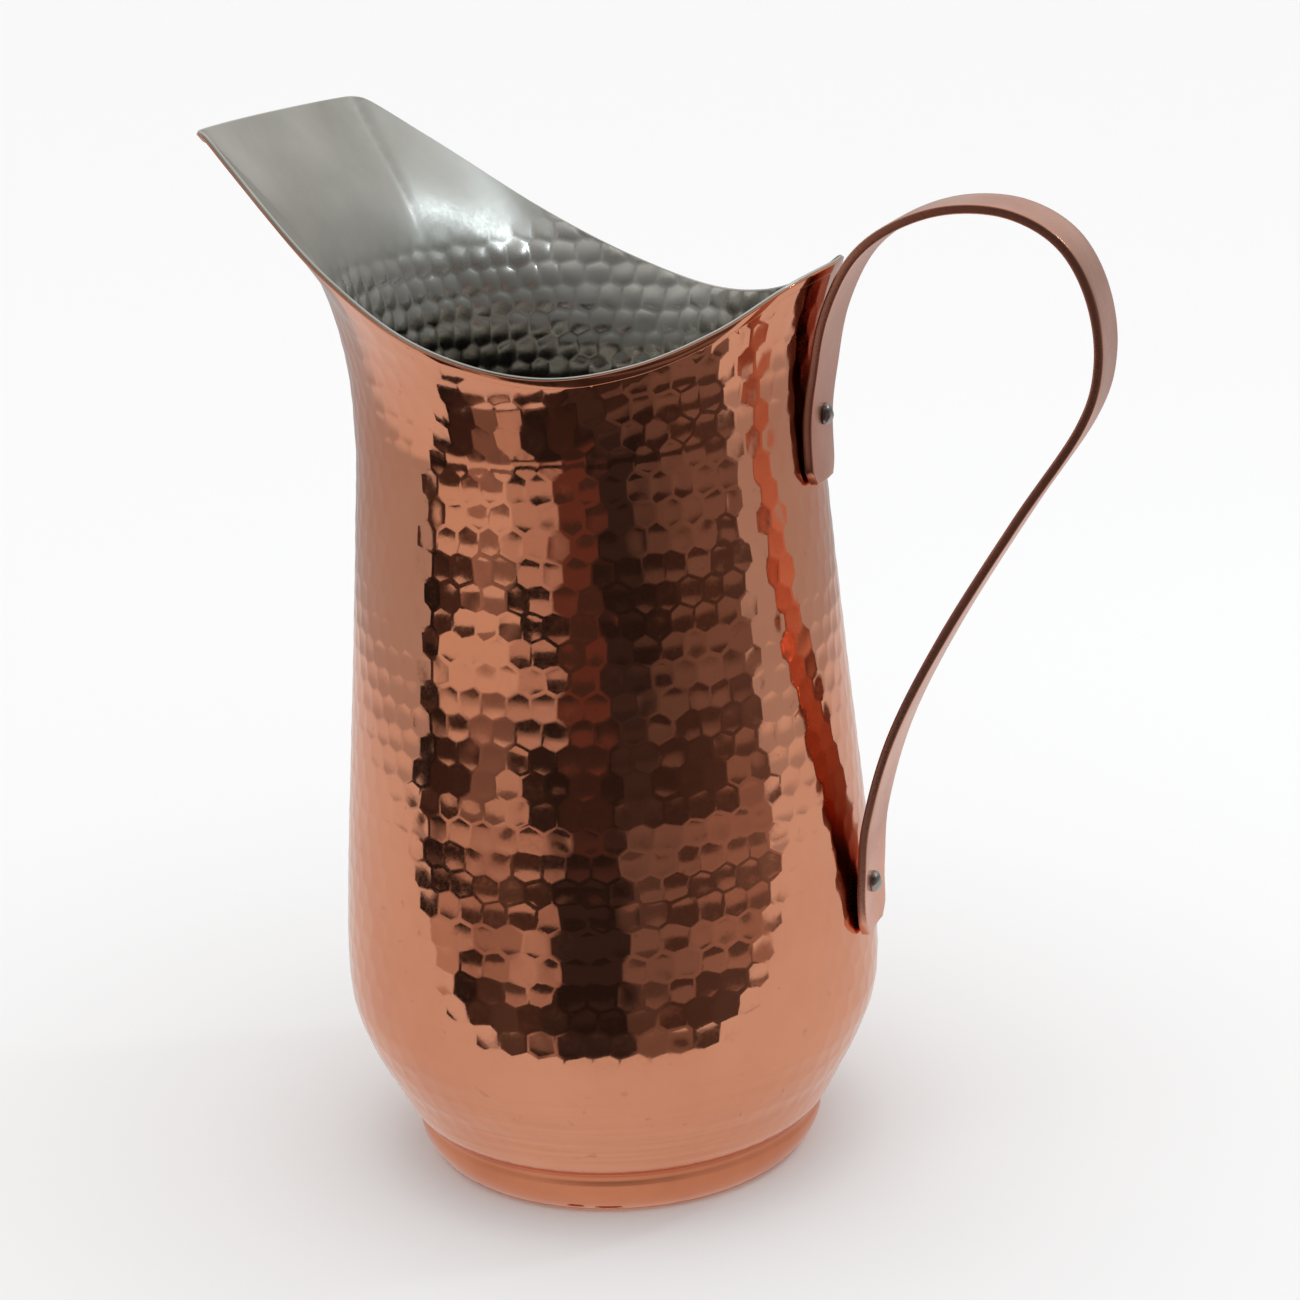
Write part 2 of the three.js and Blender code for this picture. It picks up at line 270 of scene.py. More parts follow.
BACK_COLOURS = [
    (0.0, CLAY, TAN, CLAY, TAN),
    (1.0, CLAY, TAN, CLAY, TAN),
    (0.3, BROWN, BLACK, BROWN, BLACK),
    (0.7, BROWN, BLACK, BROWN, BLACK),
]

low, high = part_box("foot_ring")
AXIS_X = (low.x + high.x) / 2 * 1000  # the jug's own axis, in millimetres

# --- Curves ------------------------------------------------------------------------------------------------


def blend_points(before, start, end, after, t):
    """A Catmull-Rom span from start to end."""
    leave = (end - before) / 2
    arrive = (after - start) / 2
    cubic = 2 * start - 2 * end + leave + arrive
    square = -3 * start + 3 * end - 2 * leave - arrive
    return ((cubic * t + square) * t + leave) * t + start


def spline(points, t):
    """Points at t (0 to 1) along the Catmull-Rom curve through `points`, whose first axis runs along it."""
    points = np.asarray(points, float)
    spans = len(points) - 1
    place = np.clip(np.asarray(t, float), 0, 1) * spans
    first = np.minimum(place.astype(int), spans - 1)
    share = (place - first).reshape(place.shape + (1,) * (points.ndim - 1))
    ends = [points[np.clip(first + k, 0, spans)] for k in (-1, 0, 1, 2)]
    return blend_points(*ends, share)


def even_spline(points, count):
    """`count` points evenly spaced along the curve, and the distance of each from its start."""
    dense = spline(points, np.linspace(0, 1, 4000))
    steps = np.linalg.norm(np.diff(dense, axis=0), axis=1)
    along = np.concatenate([[0], np.cumsum(steps)])
    at = np.linspace(0, along[-1], count)
    return np.stack([np.interp(at, along, dense[:, k]) for k in range(dense.shape[1])], axis=1), at


def soft_min(a, b, width):
    return (a + b - np.hypot(a - b, width)) / 2


def smooth_step(value, start, end):
    share = np.clip((value - start) / (end - start), 0, 1)
    return share * share * (3 - 2 * share)


# --- The wall as a surface of angle and distance -----------------------------------------------------------


def from_handle(angles):
    """Angles in degrees as 0 at the handle to 180 at the spout, on either side."""
    return np.abs((angles + 180) % 360 - 180)


def rim_at(angles, corner=LIP_CORNER):
    """Radius and height of the rim at angles in degrees, its lip's corners eased over about `corner`."""
    turned = from_handle(angles)
    stations = [RIM_STATIONS[1], *RIM_STATIONS, RIM_STATIONS[-2]]
    side = spline(stations, (1 + turned / RIM_STEP) / (len(RIM_STATIONS) + 1))
    forward = np.maximum(-np.cos(np.radians(turned)), -math.cos(math.radians(LIP_START)))
    across = LIP_REACH * np.sin(np.radians(turned)) / forward
    lip = (LIP_REACH - LIP_BOW * (across / LIP_HALF_WIDTH) ** 2) / forward
    cut = np.stack([soft_min(side[:, 0], lip, corner), soft_min(side[:, 1], LIP_HEIGHT, corner)], 1)
    return np.where((turned < LIP_START)[:, None], side, cut)


class Wall:
    """The jug's smooth outer face, read at an angle and a distance up the wall from the bottom corner."""

    ANGLE_STEP = 0.25
    RISE_STEP = 0.5
    CURVE_POINTS = 900
    LEAN_POINTS = 8  # the last of them, which show how the sheet leans at the rim
    SHEET_CORNER = 14.0  # the sheet is flared round a softer lip than the one that is cut from it
    CORNER_EASE = 14.0  # degrees over which its rim leaves the cut one
    TURN_IN = 60.0  # and is bent over this distance to meet it
    PAST_RIM = 3.0  # how far the wall can be read past the rim
    ANGLE_REACH = 0.5
    RISE_REACH = 0.6

    def __init__(self):
        angles = np.arange(0, 360, self.ANGLE_STEP)
        cut_rim = rim_at(angles)
        turned = from_handle(angles)
        ease = smooth_step(turned, LIP_START, LIP_START + self.CORNER_EASE)[:, None]
        rim = cut_rim * (1 - ease) + rim_at(angles, self.SHEET_CORNER) * ease
        neck = np.array(BODY_PROFILE[-1])
        points = [np.broadcast_to(p, rim.shape) for p in np.array(BODY_PROFILE)]
        side = (smooth_step(turned, *SIDE_FROM) * (1 - smooth_step(turned, *SIDE_TO)))[:, None]
        for share, side_share in zip(FLARE_SHARES, SIDE_FLARE_SHARES):
            both = np.array(share) * (1 - side) + np.array(side_share) * side
            points.append(neck + (rim - neck) * both)
        curve = spline(np.stack(points + [rim]), np.linspace(0, 1, self.CURVE_POINTS))
        steps = np.linalg.norm(np.diff(curve, axis=0), axis=2)
        along = np.concatenate([np.zeros((1, len(angles))), np.cumsum(steps, axis=0)])
        lean = curve[-1] - curve[-self.LEAN_POINTS]
        lean /= np.linalg.norm(lean, axis=1, keepdims=True)
        self.length = along[-1] + ((cut_rim - rim) * lean).sum(axis=1)
        self.rises = np.arange(0, self.length.max() + self.PAST_RIM, self.RISE_STEP)
        self.radius = np.empty((len(angles), len(self.rises)))
        self.height = np.empty_like(self.radius)
        missed = cut_rim - rim - lean * (self.length - along[-1])[:, None]
        for i in range(len(angles)):
            beyond = np.maximum(self.rises - along[-1, i], 0)
            turn_in = smooth_step(self.rises, self.length[i] - self.TURN_IN, self.length[i])
            radius = np.interp(self.rises, along[:, i], curve[:, i, 0])
            height = np.interp(self.rises, along[:, i], curve[:, i, 1])
            self.radius[i] = radius + lean[i, 0] * beyond + missed[i, 0] * turn_in
            self.height[i] = height + lean[i, 1] * beyond + missed[i, 1] * turn_in

    def read(self, table, angles, rises):
        """A value from a table of angles and rises, between its four nearest entries."""
        a = (angles % 360) / self.ANGLE_STEP
        r = np.clip(rises / self.RISE_STEP, 0, len(self.rises) - 1.001)
        i, j = a.astype(int), r.astype(int)
        i = i % len(table)
        fa, fr = a - np.floor(a), r - j
        k = (i + 1) % len(table)
        near = table[i, j] * (1 - fr) + table[i, j + 1] * fr
        far = table[k, j] * (1 - fr) + table[k, j + 1] * fr
        return near * (1 - fa) + far * fa

    def rim_rise(self, angles):
        """Distance up the wall to the rim."""
        a = (angles % 360) / self.ANGLE_STEP
        i = a.astype(int) % len(self.length)
        share = a - np.floor(a)
        return self.length[i] * (1 - share) + self.length[(i + 1) % len(self.length)] * share

    def points(self, angles, rises):
        radius = self.read(self.radius, angles, rises)
        height = self.read(self.height, angles, rises)
        turn = np.radians(angles)
        return np.stack([radius * np.cos(turn), radius * np.sin(turn), height], axis=-1)

    def outward(self, angles, rises):
        """Unit vectors square to the wall, away from the water."""
        before, after = angles - self.ANGLE_REACH, angles + self.ANGLE_REACH
        below, above = np.maximum(rises - self.RISE_REACH, 0), rises + self.RISE_REACH
        round_it = self.points(after, rises) - self.points(before, rises)
        up_it = self.points(angles, above) - self.points(angles, below)
        square = np.cross(round_it, up_it)
        return square / np.linalg.norm(square, axis=-1, keepdims=True)


WALL_FACE = Wall()

# --- Hammer marks ------------------------------------------------------------------------------------------


def hammer_marks(rows):
    """Middles, pulls and tilts of the marks, row by row. A mark with more pull takes ground from others."""
    random = np.random.default_rng(SEED)
    middles = []
    pulls = []
    tilts = []
    for row in range(rows):
        lift = random.uniform(-ROW_LIFT, ROW_LIFT)
        slide = 0.5 * (row % 2) + random.uniform(-ROW_SLIDE, ROW_SLIDE)
        for k in range(MARKS_ROUND):
            across = (k + slide + random.uniform(-MARK_SLIDE, MARK_SLIDE)) * PITCH
            up = (row - 0.5) * ROW_STEP + lift + random.uniform(-MARK_LIFT, MARK_LIFT)
            middles.append((across, up))
            pulls.append(random.uniform(-MARK_PULL, MARK_PULL))
            tilts.append(random.normal(0, MARK_TILT, 2))
    return middles, pulls, tilts


def clip_outline(outline, x, y, limit):
    """The part of an outline on the near side of a line, where px * x + py * y is less than `limit`."""
    kept = []
    for k, (px, py) in enumerate(outline):
        qx, qy = outline[(k + 1) % len(outline)]
        here = px * x + py * y - limit
        there = qx * x + qy * y - limit
        if here <= 0:
            kept.append((px, py))
        if here * there < 0:
            share = here / (here - there)
            kept.append((px + (qx - px) * share, py + (qy - py) * share))
    return kept


def mark_outline(index, middles, pulls):
    """All the ground round one mark that is nearer to it than to any other mark, from its own middle."""
    reach = 2 * ROW_STEP
    outline = [(-reach, -reach), (reach, -reach), (reach, reach), (-reach, reach)]
    row, column = divmod(index, MARKS_ROUND)
    for other_row in range(row - 2, row + 3):
        for other_column in range(column - 2, column + 3):
            other = other_row * MARKS_ROUND + other_column % MARKS_ROUND
            if other == index or not 0 <= other < len(middles):
                continue
            turns = other_column // MARKS_ROUND
            x = middles[other][0] + turns * MARKS_ROUND * PITCH - middles[index][0]
            y = middles[other][1] - middles[index][1]
            limit = (x * x + y * y) / 2 + pulls[index] - pulls[other]
            outline = clip_outline(outline, x, y, limit)
    return outline


def split_long_sides(outline):
    """The outline with a point added in the middle of each long side."""
    points = []
    for k, (x, y) in enumerate(outline):
        next_x, next_y = outline[(k + 1) % len(outline)]
        points.append((x, y))
        if math.hypot(next_x - x, next_y - y) > LONG_SIDE:
            points.append(((x + next_x) / 2, (y + next_y) / 2))
    return points


def mark_faces(first, count):
    """Faces of one mark: a fan round its middle point `first`, and bands between its rings of `count`."""
    faces = []
    for i in range(count):
        j = (i + 1) % count
        faces.append((first, first + 1 + i, first + 1 + j))
        for ring in range(len(RINGS) - 1):
            start = first + 1 + ring * count
            faces.append((start + i, start + count + i, start + count + j, start + j))
    return faces


def all_marks():
    """The whole wall in marks: angles, rises and relief of the points, and the faces between them.

    Relief is the square of the distance from the mark's middle, so that it rises evenly to the ridge between
    two marks and is the same on both sides of it.
    """
    rows = int(WALL_FACE.rises[-1] / ROW_STEP) + 3
    middles, pulls, tilts = hammer_marks(rows)
    rim_rises = WALL_FACE.rim_rise(np.array([x for x, _ in middles]) / PITCH * 360 / MARKS_ROUND)
    points = []
    faces = []
    for index, (middle_x, middle_y) in enumerate(middles):
        if middle_y > rim_rises[index] + 2 * ROW_STEP:
            continue
        outline = split_long_sides(mark_outline(index, middles, pulls))
        faces += mark_faces(len(points), len(outline))
        points.append((middle_x, middle_y, -2 * pulls[index]))
        lean_x, lean_y = tilts[index]
        for share in RINGS:
            for x, y in outline:
                x, y = x * share, y * share
                lean = (lean_x * x + lean_y * y) * (1 - share**2)
                points.append((middle_x + x, middle_y + y, x * x + y * y - 2 * pulls[index] + lean))
    points = np.array(points)
    return points[:, 0] / PITCH * 360 / MARKS_ROUND, points[:, 1], points[:, 2], faces


MARK_ANGLES, MARK_RISES, MARK_RELIEF, MARK_FACES = all_marks()


def faded(angles, rises):
    """How deep the marks are, from 0 to 1: they fade out at the foot, and on the smooth spout."""
    heights = WALL_FACE.points(angles, rises)[:, 2]
    spout = smooth_step(from_handle(angles), *SPOUT_FROM)
    return smooth_step(heights, *HAMMERED_FROM) * (1 - spout * smooth_step(heights, *HAMMERED_TO))


def trimmed_faces(flat, moved):
    """The marks' faces, less those that are squashed or turned over because some points have moved.

    `flat` holds the points of the wall laid flat, and `moved` says which were moved onto its edges.
    """
    faces = []
    for face in MARK_FACES:
        if not any(moved[k] for k in face):
            faces.append(face)
            continue
        for k in range(1, len(face) - 1):
            triangle = [face[0], face[k], face[k + 1]]
            (ax, ay), (bx, by), (cx, cy) = flat[triangle]
            twice_area = (bx - ax) * (cy - ay) - (by - ay) * (cx - ax)
            if twice_area > SLIVER and not all(moved[triangle]):
                faces.append(tuple(triangle))
    return faces


def marked_wall(depth_at, relief_scale, below_rim, floor):
    """Points and faces of the hammered wall between the bottom and a line `below_rim` under the rim.

    `depth_at` gives the wall's depth under the outer face at a distance below the rim. The relief is taken
    off the depth, so a positive scale makes hollows on the copper and bumps on the tin.
    """
    rim_rises = WALL_FACE.rim_rise(MARK_ANGLES)
    top = rim_rises - below_rim
    over = MARK_RISES > top - EDGE_SNAP
    under = MARK_RISES < EDGE_SNAP
    rises = np.where(over, top, np.where(under, 0, MARK_RISES))
    depth = depth_at(rim_rises - rises)
    edge = smooth_step(top - rises, 0, EDGE_FADE)
    depth -= (MARK_RELIEF - RIDGE_RELIEF) * relief_scale * faded(MARK_ANGLES, rises) * edge
    points = WALL_FACE.points(MARK_ANGLES, rises)
    points -= WALL_FACE.outward(MARK_ANGLES, rises) * depth[:, None]
    points[:, 2] = np.maximum(points[:, 2], floor)
    flat = np.stack([MARK_ANGLES / 360 * MARKS_ROUND * PITCH, rises], axis=1)
    return points, trimmed_faces(flat, over | under)


# --- Making pieces -----------------------------------------------------------------------------------------


def add_object(name, data):
    thing = bpy.data.objects.new(name, data)
    bpy.context.scene.collection.objects.link(thing)
    return thing


def make_piece(name, parts, material, nodes):
    """One piece, joined and smooth, from parts given as (points in mm about the jug's axis, faces)."""
    mesh = bpy.data.meshes.new(name)
    points = []
    faces = []
    for part_points, part_faces in parts:
        faces += [tuple(k + len(points) for k in face) for face in part_faces]
        points += [tuple(p) for p in np.asarray(part_points) / 1000 + (AXIS_X / 1000, 0, 0)]
    mesh.from_pydata(points, [], faces)
    shape = bmesh.new()
    shape.from_mesh(mesh)
    bmesh.ops.remove_doubles(shape, verts=shape.verts, dist=SEAM / 1000)
    bmesh.ops.dissolve_degenerate(shape, edges=shape.edges, dist=SEAM / 4000)
    loose = [v for v in shape.verts if not v.link_faces]
    bmesh.ops.delete(shape, geom=loose, context="VERTS")
    shape.to_mesh(mesh)
    shape.free()
    mesh.polygons.foreach_set("use_smooth", [True] * len(mesh.polygons))
    mesh.materials.append(material)
    piece = add_object(name, mesh)
    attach(piece, "root")
    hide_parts(*nodes)
    return piece


def flipped(part):
    """A part with its faces turned over."""
    points, faces = part
    return points, [face[::-1] for face in faces]


def band_faces(rings, count):
    """Faces between neighbouring rings of `count` points each."""
    faces = []
    for ring in range(rings - 1):
        for i in range(count):
            j = (i + 1) % count
            start = ring * count
            faces.append((start + i, start + j, start + count + j, start + count + i))
    return faces


def fan_faces(first, count, middle):
    return [(middle, first + i, first + (i + 1) % count) for i in range(count)]


def lathe(profile, segments, close=False):
    """A profile of (radius, height) turned about the jug's axis."""
    turn = np.linspace(0, 2 * math.pi, segments, endpoint=False)
    rings = [np.stack([r * np.cos(turn), r * np.sin(turn), np.full(segments, z)], 1) for r, z in profile]
    faces = band_faces(len(profile), segments)
    if close:
        last = (len(profile) - 1) * segments
        faces += [(last + i, last + (i + 1) % segments, (i + 1) % segments, i) for i in range(segments)]
    return np.concatenate(rings), faces


def arc(middle, radius, start, end, steps):
    """Points on an arc, angles in degrees."""
    turns = np.radians(np.linspace(start, end, steps + 1))
    return [(middle[0] + radius * math.cos(t), middle[1] + radius * math.sin(t)) for t in turns]


def along_rim(section):
    """A section swept round the rim. It is given as (out from the outer face, below the rim)."""
    angles = np.arange(RIM_SEGMENTS) * 360 / RIM_SEGMENTS
    rim_rises = WALL_FACE.rim_rise(angles)
    rings = []
    for out, below in section:
        rises = rim_rises - below
        rings.append(WALL_FACE.points(angles, rises) + WALL_FACE.outward(angles, rises) * out)
    return np.concatenate(rings), band_faces(len(section), RIM_SEGMENTS)


# --- Depths through the wall, from the outer face, at a distance below the rim -----------------------------


def tin_depth(below):
    return RIM_WALL + (WALL - RIM_WALL) * smooth_step(below, 0, RIM_THINS)


def tin_back_depth(below):
    return tin_depth(below) - TIN_SHEET


def copper_back_depth(below):
    return tin_back_depth(below) - SHEET_GAP


def back_wall(depth_at, from_top, floor):
    """The unseen side of a sheet, from near the rim down to the bottom, closed with a flat disc."""
    angles = np.arange(RIM_SEGMENTS) * 360 / RIM_SEGMENTS
    rim_rises = WALL_FACE.rim_rise(angles)
    rings = []
    for k in range(BACK_STEPS + 1):
        rises = (rim_rises - from_top) * (1 - k / BACK_STEPS)
        depth = depth_at(rim_rises - rises)
        ring = WALL_FACE.points(angles, rises) - WALL_FACE.outward(angles, rises) * depth[:, None]
        ring[:, 2] = np.maximum(ring[:, 2], floor)
        rings.append(ring)
    rings.append(np.array([[0, 0, floor]]))
    last = BACK_STEPS * RIM_SEGMENTS
    faces = band_faces(BACK_STEPS + 1, RIM_SEGMENTS)
    faces += fan_faces(last, RIM_SEGMENTS, last + RIM_SEGMENTS)
    return np.concatenate(rings), faces


def disc(radius, height):
    """A flat round floor that faces up."""
    points, faces = lathe([(radius, height), (radius / 2, height)], RIM_SEGMENTS)
    faces += fan_faces(RIM_SEGMENTS, RIM_SEGMENTS, len(points))
    return np.concatenate([points, [[0, 0, height]]]), faces


# --- The pieces --------------------------------------------------------------------------------------------


def copper_body(material):
    """The copper body: hammered wall, flat underside, and the smooth hem rolled over at the rim."""
    wall = marked_wall(lambda below: np.zeros_like(below), 1 / (2 * MARK_RADIUS), HEM_HEIGHT, UNDERSIDE)
    hem_section = [(-HEM_PROUD, HEM_HEIGHT + SKIRT), (0.0, HEM_HEIGHT)]
    hem_section += [(HEM_PROUD * out, HEM_HEIGHT - HEM_PROUD * up) for out, up in HEM_SHOULDER]
    hem_section += arc((HEM_PROUD - HEM_EDGE, HEM_EDGE + HEM_DROP), HEM_EDGE, 0, -90, 5)
    hem_section += [HEM_INSIDE, (-copper_back_depth(0.0), COPPER_BACK_FROM)]
    hem = along_rim(hem_section)
    back = back_wall(copper_back_depth, COPPER_BACK_FROM, UNDERSIDE + BASE_SHEET)
    base = flipped(disc(BODY_PROFILE[0][0], UNDERSIDE))
    parts = [wall, hem, back, base]
    return make_piece("copper_body", parts, material, ["body_shell"])


def tin_lining(material):
    """The tin: bumps where the hammer fell outside, a rolled edge on top of the rim, and a flat floor."""
    floor = UNDERSIDE + WALL
    edge = RIM_BEAD
    wall = marked_wall(tin_depth, 1 / (2 * BUMP_RADIUS), edge, floor)
    bead = [(SHEET_GAP - tin_depth(edge + SKIRT), edge + SKIRT), (-tin_depth(edge), edge)]
    bead += arc((edge - RIM_WALL, edge - RIM_BEAD_RISE), edge, 180, 360, 10)
    bead += [(-tin_back_depth(TIN_BACK_FROM), TIN_BACK_FROM)]
    back = back_wall(tin_back_depth, TIN_BACK_FROM, floor - TIN_SHEET)
    parts = [flipped(wall), flipped(along_rim(bead)), flipped(back), disc(FLOOR_RADIUS, floor)]
    return make_piece("tin_lining", parts, material, ["inner_lining"])


def foot(material):
    """The foot ring: a soft bottom edge, a fillet of solder up to the body, and two slits along its seam."""
    outside, _ = even_spline(FOOT_PROFILE, 48)
    solder, _ = even_spline(SOLDER_PROFILE, 16)
    inside, _ = even_spline([(r - FOOT_THICKNESS, z) for r, z in FOOT_PROFILE], 16)
    section = arc((FOOT_PROFILE[0][0], FOOT_EDGE), FOOT_EDGE, -90, -40, 5)
    section += [p for p in outside if 0.5 < p[1] < SOLDER_PROFILE[0][1] - 0.2]
    section += [*solder, SOLDER_BACK]
    section += [p for p in inside[::-1] if p[1] > 1.5 * FOOT_THICKNESS]
    section += FLANGE
    section += arc((REST_RADIUS + FLANGE_EDGE, 0.8), FLANGE_EDGE, 180, 270, 3)[:-1] + [REST_EDGE]
    points, faces = lathe(section, FOOT_SEGMENTS, close=True)
    out = np.hypot(points[:, 0], points[:, 1])
    turn = np.degrees(np.arctan2(points[:, 1], points[:, 0])) % 360
    for angle, half_width, height in SEAM_SLITS:
        near = 1 - smooth_step(np.abs(turn - angle), half_width * 0.7, half_width)
        near *= np.exp(-(((points[:, 2] - height) / SLIT_HALF_HEIGHT) ** 4))
        sunk = np.where(out > FOOT_PROFILE[0][0], near * SLIT_DEPTH, 0)
        points[:, :2] *= (1 - sunk / out)[:, None]
    return make_piece("foot_ring_spun", [(points, faces)], material, ["foot_ring"])


def strap_outline(half_width, half_thickness, ease):
    """A flat bar with eased edges, as (across, out of its face), with points across both its faces."""
    corners = []
    for x, y, start in ((1, 1, 90), (1, -1, 0), (-1, -1, -90), (-1, 1, -180)):
        middle = (x * (half_width - ease), y * (half_thickness - ease))
        corners.append(arc(middle, ease, start, start - 90, 4))
    outline = []
    for k, corner in enumerate(corners):
        outline += corner
        if k % 2:
            across_face = np.linspace(corner[-1], corners[(k + 1) % 4][0], 9)
            outline += list(across_face[1:-1])
    return np.array(outline)


def strap_distances(length):
    """Where along the strap its rings stand: close together near the ends."""
    end = np.linspace(0, STRAP_END, 16)
    between = np.linspace(STRAP_END, length - STRAP_END, 220)
    return np.unique(np.concatenate([end, between, length - end]))


def strap_section(from_end):
    """The strap's section at a distance from its nearer end: clipped, rounded and dished towards the end."""
    half_width = STRAP_WIDTH / 2 + soft_min(from_end - STRAP_CLIP, 0, CLIP_SOFTNESS)
    rounding = max(0.0, STRAP_EDGE - from_end)
    inset = STRAP_EDGE - math.sqrt(max(STRAP_EDGE**2 - rounding**2, 0))
    outline = strap_outline(half_width - inset, STRAP_THICKNESS / 2 - inset, max(STRAP_EDGE - inset, 0.05))
    dish = STRAP_DISH * smooth_step(DISH_LENGTH - from_end, 0, DISH_LENGTH / 2)
    outline[:, 1] -= dish * (outline[:, 0] / (STRAP_WIDTH / 2)) ** 2
    return outline


def strap(material):
    """The handle: the strap's section carried along its path, with a small fan over each end."""
    path, along = even_spline(STRAP_PATH, 260)
    length = along[-1]
    tangent = np.gradient(path, axis=0)
    tangent /= np.linalg.norm(tangent, axis=1, keepdims=True)
    rings = []
    for distance in strap_distances(length):
        middle = np.array([np.interp(distance, along, path[:, k]) for k in (0, 1)])
        ahead = np.array([np.interp(distance, along, tangent[:, k]) for k in (0, 1)])
        ahead /= np.linalg.norm(ahead)
        across, lift = strap_section(min(distance, length - distance)).T
        rings.append(np.stack([middle[0] + ahead[1] * lift, across, middle[1] - ahead[0] * lift], axis=1))
    count = len(rings[0])
    faces = band_faces(len(rings), count)
    points = np.concatenate(rings + [rings[0].mean(axis=0)[None], rings[-1].mean(axis=0)[None]])
    faces += [face[::-1] for face in fan_faces(0, count, len(points) - 2)]
    faces += fan_faces((len(rings) - 1) * count, count, len(points) - 1)
    return make_piece("strap_handle", [(points, faces)], material, ["handle_strap"])


def dome(radius, height, foot, steps=14):
    """The profile of a round head, as (radius, reach): a straight foot, then a dome."""
    profile = [(0.0, 0.0), (radius - 0.15, 0.0), (radius, 0.12)]
    for k in range(steps + 1):
        turn = math.pi / 2 * k / steps
        profile.append((radius * math.cos(turn), foot + (height - foot) * math.sin(turn)))
    return profile


def turned_along_x(profile, segments, height):
    """A profile of (radius, reach) turned about the level line through the jug's axis at a height."""
    turn = np.linspace(0, 2 * math.pi, segments, endpoint=False)
    across = np.cos(turn)
    up = np.sin(turn)
    rings = [np.stack([np.full(segments, x), r * across, height + r * up], axis=1) for r, x in profile]
    return np.concatenate(rings), band_faces(len(profile), segments)


def strap_face(height):
    """Reach of the strap's outer face at a rivet's height."""
    path, _ = even_spline(STRAP_PATH, 1200)
    near_wall = path[path[:, 0] < LIP_REACH]
    return near_wall[np.argmin(np.abs(near_wall[:, 1] - height)), 0] + STRAP_THICKNESS / 2


def wall_reach(height):
    """Radius of the wall's outer face under the handle at a height."""
    rises = WALL_FACE.rises
    points = WALL_FACE.points(np.zeros_like(rises), rises)
    return float(np.interp(height, points[:, 2], points[:, 0]))


def dented(points, middle):
    """A rivet's head with the small flats that the hammer left on it."""
    random = np.random.default_rng(SEED)
    directions = random.normal(size=(HEAD_FLATS, 3))
    directions[:, 0] = np.abs(directions[:, 0])
    directions /= np.linalg.norm(directions, axis=1, keepdims=True)
    away = points - middle
    away /= np.maximum(np.linalg.norm(away, axis=1, keepdims=True), 1e-6)
    flat = np.clip(away @ directions.T - FLAT_START, 0, 1).max(axis=1, keepdims=True)
    return points - away * flat * FLAT_DEPTH


def rivet(place, height, face, tail_base, steel):
    """One rivet: a head on the strap's face and a tail inside, peened over its rove."""
    profile = [(r, face + x) for r, x in dome(HEAD_RADIUS, HEAD_HEIGHT, HEAD_FOOT)]
    points, faces = turned_along_x(profile, RIVET_SEGMENTS, height)
    head = (dented(points, np.array([face, 0, height])), faces)
    profile = [(r, tail_base - x) for r, x in dome(TAIL_RADIUS, TAIL_HEIGHT, TAIL_FOOT)]
    tail = flipped(turned_along_x(profile, RIVET_SEGMENTS, height))
    make_piece(f"rivet_{place}_head_and_tail", [head, tail], steel, [f"rivet_{place}"])


def rove(place, height, inside, steel):
    """One rove: a flat washer with eased edges, against the lining."""
    face = inside - ROVE_THICKNESS
    section = [(ROVE_HOLE, inside), (ROVE_RADIUS - ROVE_EDGE, inside), (ROVE_RADIUS, inside - ROVE_EDGE)]
    section += [(ROVE_RADIUS, face + ROVE_EDGE), (ROVE_RADIUS - ROVE_EDGE, face), (ROVE_HOLE, face)]
    section += [section[0]]
    washer = flipped(turned_along_x(section, ROVE_SEGMENTS, height))
    make_piece(f"rove_{place}_washer", [washer], steel, [f"rove_{place}"])


def rivets_and_roves(steel):
    for place, height in RIVET_HEIGHTS.items():
        inside = wall_reach(height) - WALL - ROVE_GAP
        rivet(place, height, strap_face(height), inside - ROVE_THICKNESS, steel)
        rove(place, height, inside, steel)


# --- Materials ---------------------------------------------------------------------------------------------


